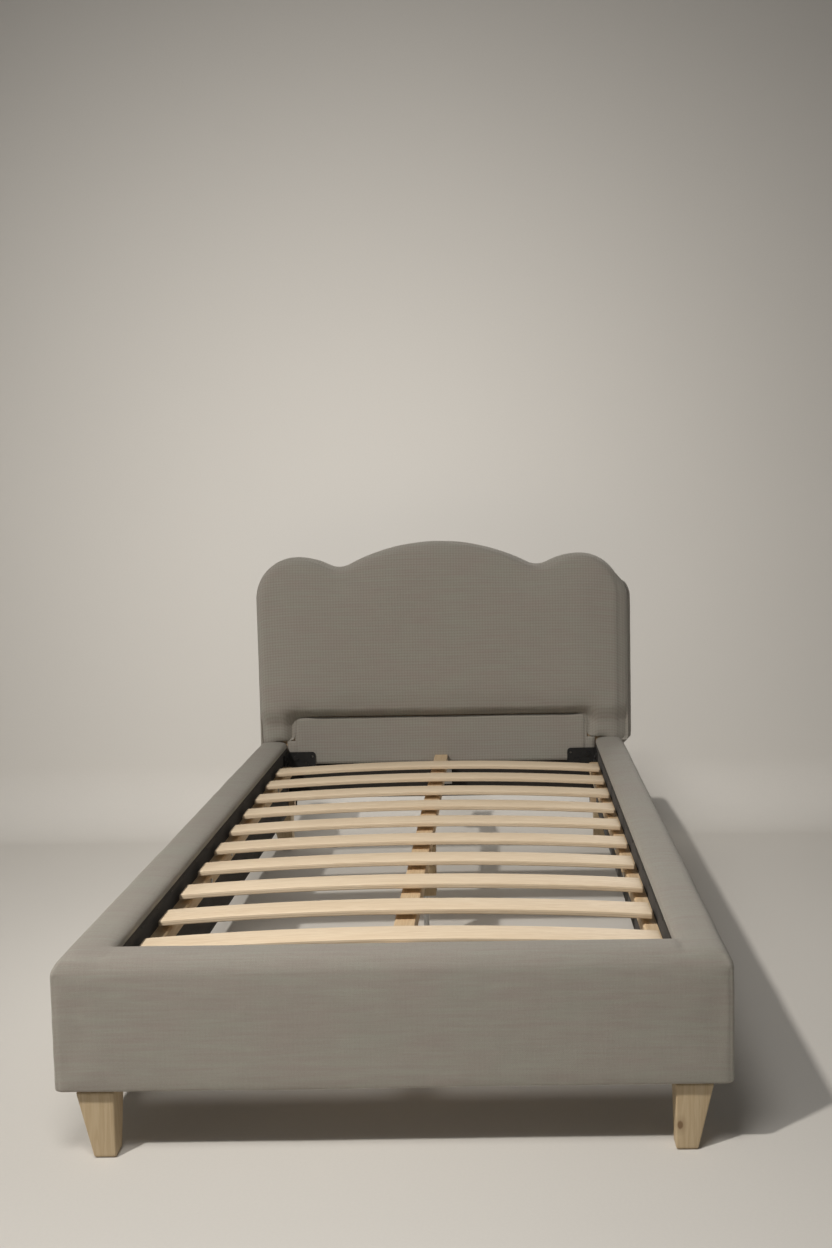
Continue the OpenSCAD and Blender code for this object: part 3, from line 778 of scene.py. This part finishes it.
def headboard_cushion():
    """Front pad: a crowned front panel whose gusset flares back to the band."""
    front, back = pad_low.y, pad_high.y
    base = scallop(0, 0.268)
    insets = front_inset(base)
    rings = []
    # Depth, share of the rim's inset, inset of the recess and ears, share of the bulge
    for y, share, i, flare in (
            (front + 0.0015, 1.30, 0.009, 0), (front + 0.0035, 1.10, 0.0045, 0),
            (front + 0.0080, 1.0, 0.0015, 0.08), (back - 0.014, 0.42, 0.0008, 0.72),
            (back - 0.0008, 0.22, 0.0005, 0.95)):
        loop = pad_outline(insets * share + 0.0015 + 0.04 * max(share - 1, 0), i)
        loop[:, 0] = bulged(loop[:, 0], loop[:, 1], flare)
        rings.append(np.column_stack([loop[:, 0], np.full(len(loop), y), loop[:, 1]]))
    piece = skin("headboard_cushion", rings, HEAD_LINEN)
    add_modifier(piece, "TRIANGULATE")
    add_modifier(piece, "REMESH", mode="VOXEL", voxel_size=0.006)
    add_modifier(piece, "SMOOTH", factor=0.5, iterations=2)
    settle(piece)

    co = points_of(piece)
    rim = scallop_at(insets, 0.2)
    edge = distance_to(rim, co[:, 0], co[:, 2])
    free = smoothstep(back - 0.004, back - 0.012, co[:, 1])
    swell(piece, 4.0, 0.005, free * (0.25 + 0.75 * smoothstep(0.01, 0.09, edge)))
    face = smoothstep(0.012, 0.040, edge) * smoothstep(-0.3, -0.7, normals_of(piece)[:, 1])
    taut = piece.vertex_groups.new(name="taut")
    for index, weight in enumerate(face):
        taut.add([index], float(weight), "REPLACE")
    add_modifier(piece, "SMOOTH", factor=0.5, iterations=30, vertex_group="taut")
    add_modifier(piece, "SMOOTH", factor=0.5, iterations=2)
    add_modifier(piece, "SUBSURF", levels=1, render_levels=1)
    settle(piece)

    co = points_of(piece)
    normal = normals_of(piece)
    facing = smoothstep(-0.25, -0.6, normal[:, 1])
    edge = distance_to(rim, co[:, 0], co[:, 2])
    # Seam down the right side, where the panel meets the gusset
    seam = facing * np.exp(-((edge - 0.001) / 0.003) ** 2) * smoothstep(0.36, 0.39, co[:, 0])
    co[:, 1] += 0.0008 * seam
    # The cloth is pulled in where the panel turns into the ears
    below = smoothstep(RECESS_Z + 0.024, RECESS_Z - 0.024, co[:, 2])
    for side in (-1, 1):
        away = np.hypot(co[:, 0] - side * 0.326, (co[:, 2] - (RECESS_Z + 0.006)) / 0.8)
        co[:, 1] += facing * 0.0050 * np.exp(-(away / 0.026) ** 2)
        turn = smoothstep(0.034, 0.0, side * co[:, 0] - EAR_X)
        co[:, 1] += 0.015 * below * turn ** 1.5 * smoothstep(back - 0.004, back - 0.016, co[:, 1])
    lift = 0.0007 * waves(co, (0.16, 0.3), 8) + 0.0002 * waves(co, (0.045,), 9)
    inside = smoothstep(0.0, 0.03, edge)
    set_points(piece, co + normal * (lift * facing * inside)[:, None])
    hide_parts("headboard_front_pad")


def side_band():
    """Sewn band behind the front pad, from one foot of the board to the other."""
    front, back = band_low.y, band_high.y
    section = [(0.0066, front + 0.0004), (0.0034, front + 0.0012), (0.0020, front + 0.006),
               (0.0008, front + 0.014), (0.0, front + 0.022), (0.0002, front + 0.030),
               (0.0022, back - 0.0030), (0.0050, back - 0.0008), (0.0096, back - 0.0008),
               (0.0096, front + 0.020), (0.0096, front + 0.0004)]
    lines = [scallop(inset + 0.0005, band_low.z + 0.0005) for inset, _ in section]
    rings = []
    for k in range(len(lines[0])):
        rings.append([(lines[j][k][0], section[j][1], lines[j][k][1]) for j in range(len(section))])
    piece = skin("headboard_band", [np.array(r) for r in rings], HEAD_LINEN)
    add_modifier(piece, "SUBSURF", levels=1, render_levels=1)
    settle(piece)
    co = points_of(piece)
    co += normals_of(piece) * (0.0004 * waves(co, (0.06, 0.14), 15))[:, None]
    outer = smoothstep(HALF_HEAD - 0.0085, HALF_HEAD - 0.004, co[:, 0])
    above = smoothstep(0.235, 0.262, co[:, 2])
    co[:, 0] += outer * above * (bulged(co[:, 0], co[:, 2]) - co[:, 0])
    set_points(piece, co)
    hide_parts("headboard_side_band")


def lower_panel():
    """Flat padded panel with a seam near each side."""
    seam_x = EAR_X - 0.002
    x = np.unique(np.round(np.concatenate([
        np.linspace(panel_low.x + 0.001, panel_high.x - 0.001, 90),
        np.linspace(seam_x - 0.008, seam_x + 0.008, 9),
        -np.linspace(seam_x - 0.008, seam_x + 0.008, 9)]), 5))
    rows = 16
    low = panel_low.z - 0.014    # the cloth hangs past the panel, behind the last slat
    rings = []
    for value in x:
        blend = smoothstep(0.337, 0.3355, abs(value))
        top = 0.2600 + 0.0545 * blend
        top -= 0.006 * smoothstep(0.326, 0.336, abs(value)) * blend
        z = np.linspace(low, top, rows)
        share = (z - low) / (top - low)
        puff = 0.0012 * np.sin(math.pi * np.clip(share, 0, 1)) ** 0.5
        seam = abs(abs(value) - seam_x)
        dent = 0.0026 * math.exp(-(seam / 0.0030) ** 2)
        beyond = 0.0015 * smoothstep(seam_x, seam_x + 0.006, abs(value))
        y = panel_low.y + 0.0014 - puff + dent + beyond
        front = np.column_stack([np.full(rows, value), y, z])
        back = np.array([[value, panel_high.y - 0.0002, top], [value, panel_high.y - 0.0002, low]])
        rings.append(np.concatenate([front, back]))
    piece = skin("headboard_lower_cushion", rings, HEAD_LINEN)
    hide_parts("headboard_lower_panel")


def back_cover():
    """Dark cloth stapled over the back, with its folds between the staples."""
    outline = scallop(0.004, BED_Z)
    half = outline[: len(outline) // 2 + 1]
    turn = np.linspace(0, math.pi / 2, 40)
    column_x = np.sin(turn) * half[:, 0].max() * 0.9999
    column_x = np.unique(np.concatenate([-column_x, column_x, [-0.3455, 0.3455, -0.3445, 0.3445]]))
    top_line = half[half[:, 1] > FLANK_TOP - SHOULDER_R - 1e-6]
    order = np.argsort(top_line[:, 0])
    rows = 34
    notch_z = BED_Z + 0.037
    rings_front, rings_back = [], []
    for value in column_x:
        top = np.interp(abs(value), top_line[order, 0], top_line[order, 1])
        low = notch_z if abs(value) < 0.345 else BED_Z + 0.002
        z = np.linspace(low, top, rows)
        probe = np.column_stack([np.full(rows, value), np.zeros(rows), z])
        rim = np.minimum(np.minimum(z - low, top - z), HALF_HEAD - abs(value))
        wave = 0.0009 * waves(probe, (0.07, 0.2), 41) * smoothstep(0, 0.05, rim)
        rings_front.append(np.column_stack([np.full(rows, value), back_high.y - 0.0011 + wave, z]))
        flat = np.column_stack([np.full(rows, value), np.full(rows, back_low.y + 0.0001), z])
        rings_back.append(flat[::-1])
    rings = [np.concatenate([a, b]) for a, b in zip(rings_front, rings_back)]
    piece = skin("headboard_back_cloth", rings, NONWOVEN)
    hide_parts("headboard_back_cover")
    path = scallop(0.011, BED_Z + 0.03)
    gaps = np.linalg.norm(np.diff(path, axis=0), axis=1)
    at = np.concatenate([[0], np.cumsum(gaps)])
    spots = []
    for s in np.arange(0.02, at[-1], 0.055):
        x, z = np.interp(s, at, path[:, 0]), np.interp(s, at, path[:, 1])
        x2, z2 = np.interp(s + 0.004, at, path[:, 0]), np.interp(s + 0.004, at, path[:, 1])
        way = Vector((x2 - x, 0, z2 - z)).normalized()
        spots.append(((x, back_high.y - 0.0009, z), way, (0, 1, 0)))
    spots += [((x, back_high.y - 0.0009, notch_z + 0.009), (1, 0, 0), (0, 1, 0))
              for x in np.arange(-0.32, 0.33, 0.064)]
    staples("headboard_back_staples", spots)


headboard_cushion()
side_band()
lower_panel()
back_cover()

# ---- slats ----


def slat(number):
    """Bowed slat with eased edges and ends."""
    node = f"slat_{number:02d}"
    low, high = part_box(node)
    mesh_co = np.array([v.co for v in NODES[node].data.vertices])
    half = high.x
    end_low = mesh_co[np.abs(mesh_co[:, 0]) > half - 1e-4][:, 2].min()
    thick = 0.008
    centre_z = end_low + (half ** 2 / (2 * SLAT_R)) - SLAT_R
    ease = 0.0014
    x = np.concatenate([[-half + 0.0002, -half + 0.0006, -half + ease],
                        np.linspace(-half, half, 41)[1:-1],
                        [half - ease, half - 0.0006, half - 0.0002]])
    draw = np.random.default_rng(100 + number)
    warp = draw.uniform(-0.0004, 0.0004, 2)
    rings = []
    for value in x:
        near_end = half - abs(value)
        tuck = ease * (1 - math.sqrt(max(0, 1 - (1 - min(1, near_end / ease)) ** 2))) * 0.8
        base = centre_z + math.sqrt(SLAT_R ** 2 - value ** 2)
        y0, y1 = low.y + tuck, high.y - tuck
        z0, z1 = base + tuck, base + thick - tuck
        loop = []
        for cy, cz, start in ((y0 + ease, z0 + ease, 180), (y1 - ease, z0 + ease, 270),
                              (y1 - ease, z1 - ease, 0), (y0 + ease, z1 - ease, 90)):
            corner = arc((cy, cz), ease, start, start + 90, 3)
            loop.extend((value, y, z) for y, z in corner)
        ring = np.array(loop)
        ring[:, 1] += warp[0] * math.sin(value * 5) + warp[1] * value
        rings.append(ring)
    piece = skin(f"{node}_board", rings, SLAT_WOOD, node)
    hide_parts(node)


for number in range(1, 11):
    slat(number)

# ---- legs ----


def leg(node):
    """Tapered square leg with eased corners and arrises."""
    co = np.array([v.co for v in NODES[node].data.vertices])
    low_z, high_z = co[:, 2].min(), co[:, 2].max()
    ends = []
    for level in (low_z, high_z):
        ring = co[np.abs(co[:, 2] - level) < 2e-4]
        ends.append((ring[:, :2].min(0), ring[:, :2].max(0)))
    foot_z = 0.0012          # so that the glide under the foot hardly shows
    ease = 0.0022
    tall = 0.08
    levels = [0.0, 0.0006 / tall, 0.0018 / tall, *np.linspace(0.05, 0.95, 7),
              1 - 0.0010 / tall, 1.0]
    rings = []
    for t in levels:
        low = ends[0][0] * (1 - t) + ends[1][0] * t
        high = ends[0][1] * (1 - t) + ends[1][1] * t
        from_end = min(t, 1 - t) * (high_z - foot_z)
        tuck = 0.0016 * (1 - min(1, from_end / 0.0018)) ** 2
        z = foot_z + t * (high_z - foot_z)
        loop = []
        for cx, cy, start in ((low[0] + ease + tuck, low[1] + ease + tuck, 180),
                              (high[0] - ease - tuck, low[1] + ease + tuck, 270),
                              (high[0] - ease - tuck, high[1] - ease - tuck, 0),
                              (low[0] + ease + tuck, high[1] - ease - tuck, 90)):
            loop.extend((x, y, z) for x, y in arc((cx, cy), ease, start, start + 90, 4))
        rings.append(np.array(loop))
    piece = skin(f"{node}_wood", rings, PINE_UP)
    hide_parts(node)


for node in ("foot_left_leg", "foot_right_leg", "head_left_leg", "head_right_leg"):
    leg(node)

# ---- stage, light and camera ----


def stage():
    """Pale floor that sweeps up into a wall behind the bed."""
    wall_y, sweep_r = 0.98, 0.16
    line = [(-4.5, 0.0), (-2.0, 0.0), (0.0, 0.0)]
    line += [tuple(p) for p in arc((wall_y - sweep_r, sweep_r), sweep_r, -90, 0, 16)]
    line += [(wall_y, 2.0), (wall_y, 4.5)]
    xs = (-4.5, -1.5, 1.5, 4.5)
    vertices = [(x, y, z) for y, z in line for x in xs]
    faces = [(i * 4 + j, i * 4 + j + 1, (i + 1) * 4 + j + 1, (i + 1) * 4 + j)
             for i in range(len(line) - 1) for j in range(3)]
    m = Finish("studio_paper")
    soft = m.noise(m.scaled(m.at, (0.6, 0.6, 0.6)), detail=2)
    grain = m.noise(m.scaled(m.at, (0.004, 0.004, 0.004)), detail=2)
    colour = m.shade(m.mix(soft, rgb(0.60, 0.575, 0.535), rgb(0.62, 0.595, 0.555)),
                     m.remap(grain, 0.3, 0.7, 0.99, 1.01))
    paper = m.finish(colour, 0.85, m.bump(grain, 0.0002, 0.2), Specular_IOR_Level=0.2)
    # The paper's back is clear, for views of the bed from behind and below
    nodes, links = paper.node_tree.nodes, paper.node_tree.links
    out = next(n for n in nodes if n.type == "OUTPUT_MATERIAL")
    front = out.inputs["Surface"].links[0].from_socket
    mix, clear = nodes.new("ShaderNodeMixShader"), nodes.new("ShaderNodeBsdfTransparent")
    links.new(nodes.new("ShaderNodeNewGeometry").outputs["Backfacing"], mix.inputs[0])
    links.new(front, mix.inputs[1])
    links.new(clear.outputs[0], mix.inputs[2])
    links.new(mix.outputs[0], out.inputs["Surface"])
    behind = [(x, y, -0.002) for y in (wall_y - sweep_r, 5.0) for x in (-4.5, 4.5)]
    for name, corners, polygons in (("studio_sweep", vertices, faces),
                                    ("studio_floor_behind", behind, [(0, 1, 3, 2)])):
        mesh = bpy.data.meshes.new(name)
        mesh.from_pydata(corners, [], polygons)
        mesh.materials.append(paper)
        mesh.shade_smooth()
        sheet = bpy.data.objects.new(name, mesh)
        scene.collection.objects.link(sheet)
        sheet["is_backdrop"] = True


def area_light(name, place, target, size, power, colour, spread):
    data = bpy.data.lights.new(name, "AREA")
    data.shape = "DISK"
    data.size = size
    data.energy = power
    data.color = colour
    data.spread = math.radians(spread)
    lamp = bpy.data.objects.new(name, data)
    scene.collection.objects.link(lamp)
    lamp.location = place
    lamp.rotation_euler = (Vector(target) - Vector(place)).to_track_quat("-Z", "Y").to_euler()
    return lamp


def camera():
    """Camera fitted to the corners of the bed in the photo."""
    yaw, pitch, roll = 0.0064, -0.0944, -0.0170
    ahead = Vector((-math.sin(yaw) * math.cos(pitch), math.cos(yaw) * math.cos(pitch),
                    math.sin(pitch)))
    level = Vector((math.cos(yaw), math.sin(yaw), 0))
    above = level.cross(ahead)
    right = math.cos(roll) * level + math.sin(roll) * above
    up = -math.sin(roll) * level + math.cos(roll) * above
    data = bpy.data.cameras.new("camera")
    data.sensor_width = 36
    data.lens = 39.94
    data.shift_x = -0.0607
    eye = bpy.data.objects.new("camera", data)
    scene.collection.objects.link(eye)
    turn = Matrix((right, up, -ahead)).transposed()
    eye.matrix_world = Matrix.Translation((0.1422, -2.4368, 0.8252)) @ turn.to_4x4()
    scene.camera = eye


def shine_on(lamp, receivers, blockers):
    """Light linking: which pieces the lamp lights and which cast its shadows."""
    lamp.light_linking.receiver_collection = receivers
    lamp.light_linking.blocker_collection = blockers


def group(name, members):
    made = bpy.data.collections.new(name)
    for member in members:
        made.objects.link(member)
    return made


def lights():
    """A small key from the upper left, soft fills, and lamps for the paper
    alone, so that the headboard's shadow stays off it."""
    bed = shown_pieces()
    paper = group("paper", [o for o in bpy.data.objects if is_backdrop(o)])
    whole_bed = group("whole_bed", bed)
    rails_and_deck = group("rails_and_deck", [o for o in bed if "headboard" not in o.name])
    for name, place, aim, size, power, spread, lit, blocks in LAMPS:
        colour = WARM if name.startswith("key") else NEUTRAL
        lamp = area_light(name, place, aim, size, power, colour, spread)
        shine_on(lamp, whole_bed if lit == "bed" else paper,
                 whole_bed if blocks == "bed" else rails_and_deck)
    world = bpy.data.worlds.new("studio")
    scene.world = world
    world.use_nodes = True
    background = world.node_tree.nodes["Background"]
    background.inputs[0].default_value = (0.95, 0.97, 1.0, 1)
    background.inputs[1].default_value = AMBIENT
    scene.view_settings.view_transform = "Standard"


WARM = (1.0, 0.965, 0.915)
NEUTRAL = (1.0, 0.98, 0.95)
AMBIENT = 0.088
KEY_PLACE = (-1.75, -2.1, 3.05)
# Name, place, aim, size, power, spread, what it lights and what casts its
# shadows; "deck" is the bed without the headboard
LAMPS = [
    ("key_bed", KEY_PLACE, (0.0, -0.5, 0.2), 0.26, 27.5, 90, "bed", "bed"),
    ("front_bed", (0.3, -2.7, 1.7), (0.0, -0.7, 0.2), 1.3, 1.0, 100, "bed", "bed"),
    ("right_bed", (2.3, -0.35, 1.0), (0.4, 0.3, 0.3), 1.0, 2.0, 110, "bed", "bed"),
    ("back_bed", (0.8, 3.2, 1.1), (0.0, 0.78, 0.4), 1.6, 9.0, 90, "bed", "bed"),
    ("left_bed", (-2.6, -0.4, 1.4), (0.0, -0.2, 0.3), 1.4, 2.4, 120, "bed", "bed"),
    ("key_paper", (-1.46, -2.36, 3.05), (0.1, 0.0, 0.0), 0.17, 24.5, 92, "paper", "deck"),
    ("wall_wash", (-0.25, -1.0, 1.2), (-0.1, 0.98, 0.48), 1.0, 7.5, 100, "paper", "deck"),
    ("floor_pool", (-0.2, -1.9, 2.4), (0.0, -1.6, 0.0), 0.8, 6.8, 80, "paper", "deck"),
]
stage()
lights()
camera()
